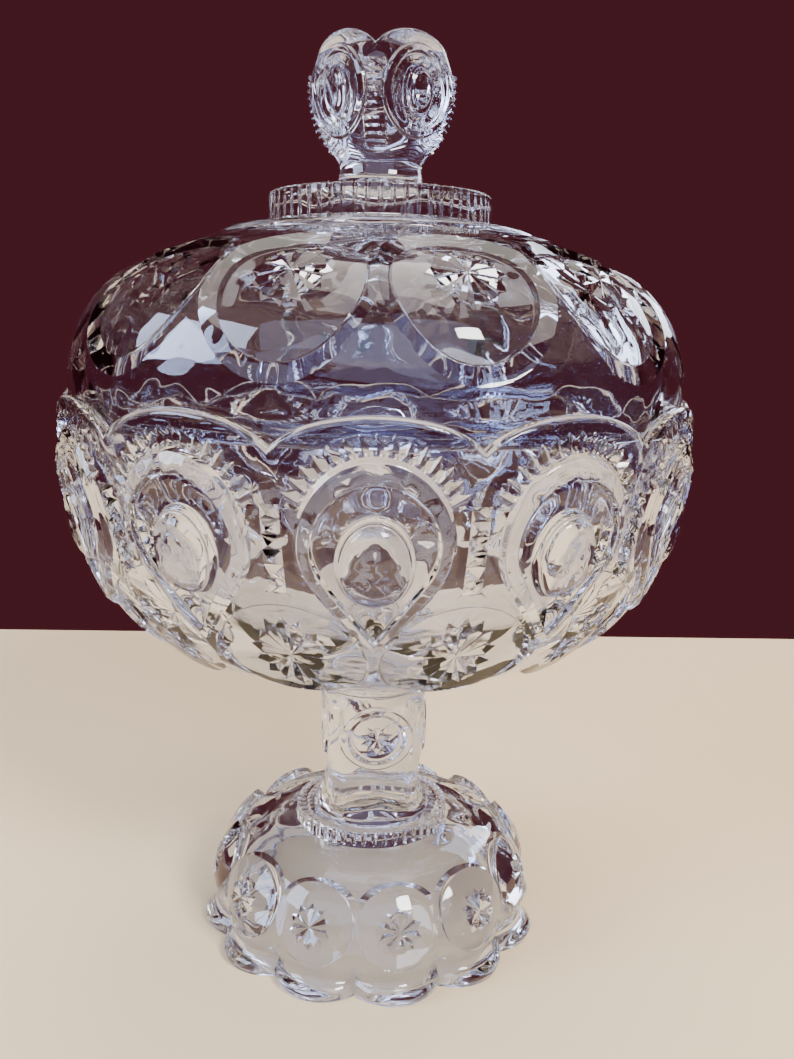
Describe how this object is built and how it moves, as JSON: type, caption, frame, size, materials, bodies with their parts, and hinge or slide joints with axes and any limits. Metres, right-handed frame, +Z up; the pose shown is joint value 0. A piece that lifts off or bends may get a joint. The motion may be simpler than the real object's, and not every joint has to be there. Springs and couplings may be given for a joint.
{
  "type": "covered compote",
  "caption": "Tall footed candy dish in clear pressed glass: deep bowl with an arched rim on a domed foot, and a lift-off domed cover with a square finial.",
  "frame": {"origin": "on the table at the centre of the foot", "axes": "+Z up along the axis of the compote, -Y through the middle of one arch of the rim"},
  "size_m": [0.2046, 0.2046, 0.2995],
  "materials": {
    "clear_glass": "fire-polished"
  },
  "bodies": {
    "compote": {"foot": "clear_glass", "stem": "clear_glass", "wafer": "clear_glass", "bowl": "clear_glass"},
    "cover": {"cover": "clear_glass", "finial": "clear_glass"}
  },
  "joints": [
    {"name": "cover_lift", "type": "slide", "parent": "compote", "child": "cover", "axis": [0, 0, 1], "range_m": [0, 0.12]}
  ]
}
